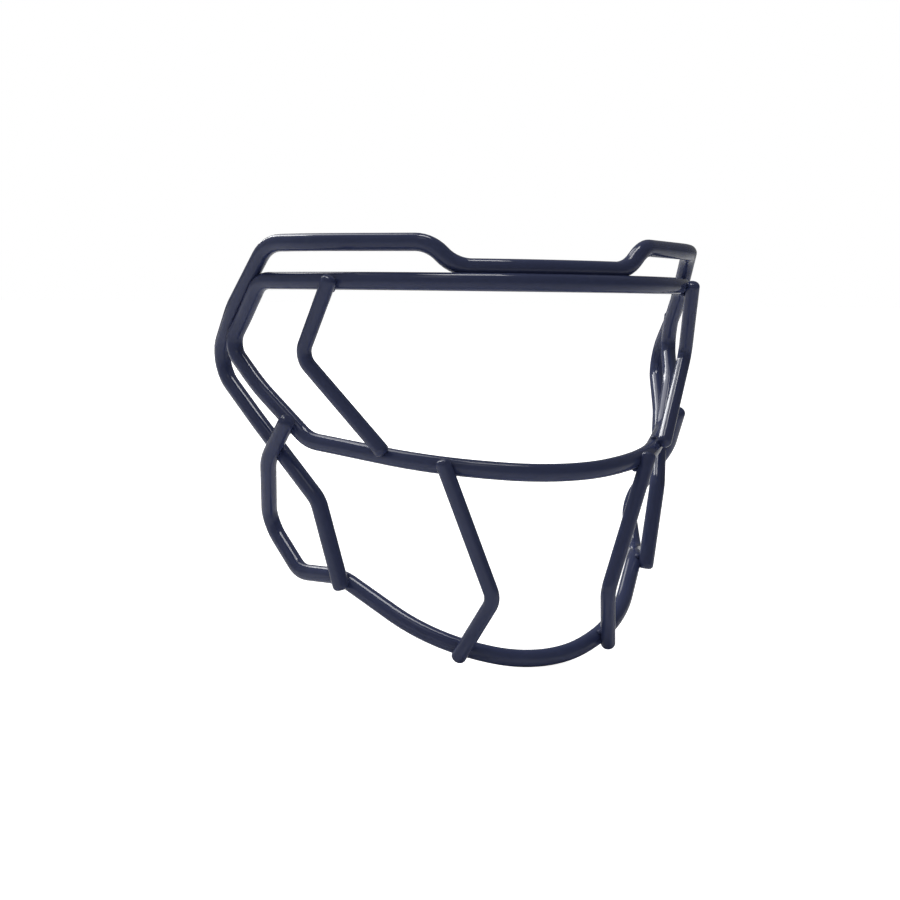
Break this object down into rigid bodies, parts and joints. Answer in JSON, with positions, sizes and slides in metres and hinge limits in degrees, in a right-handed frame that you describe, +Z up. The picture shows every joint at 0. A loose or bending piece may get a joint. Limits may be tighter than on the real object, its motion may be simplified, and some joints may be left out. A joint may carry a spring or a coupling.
{
  "type": "football helmet face mask",
  "caption": "Welded wire face mask for a football helmet: bent round wires frame an eye port above a rounded chin guard, all under a dark glossy coating.",
  "frame": {"origin": "on the mid-plane, at the back of the brow bar, where the mask meets the front edge of the helmet shell", "axes": "+X to the wearer's left, +Y backwards, +Z up"},
  "size_m": [0.2244, 0.1291, 0.1713],
  "materials": {
    "frame_coating": "glossy dark navy coating on steel wire",
    "bar_coating": "glossy dark navy coating on steel wire",
    "weld_coating": "glossy dark navy coating over weld metal"
  },
  "bodies": {
    "root": {"outer_frame_wire": "frame_coating", "inner_frame_ring": "frame_coating", "chin_wire": "frame_coating", "left_eye_bar": "bar_coating", "left_chin_bar": "bar_coating", "left_brow_weld": "weld_coating", "left_ear_weld": "weld_coating", "left_ring_chin_wire_weld": "weld_coating", "left_frame_chin_wire_weld": "weld_coating", "left_jaw_weld": "weld_coating", "left_eye_bar_top_weld": "weld_coating", "left_eye_bar_foot_weld": "weld_coating", "left_chin_bar_top_weld": "weld_coating", "left_chin_bar_foot_weld": "weld_coating", "right_eye_bar": "bar_coating", "right_chin_bar": "bar_coating", "right_brow_weld": "weld_coating", "right_ear_weld": "weld_coating", "right_ring_chin_wire_weld": "weld_coating", "right_frame_chin_wire_weld": "weld_coating", "right_jaw_weld": "weld_coating", "right_eye_bar_top_weld": "weld_coating", "right_eye_bar_foot_weld": "weld_coating", "right_chin_bar_top_weld": "weld_coating", "right_chin_bar_foot_weld": "weld_coating"}
  },
  "joints": []
}
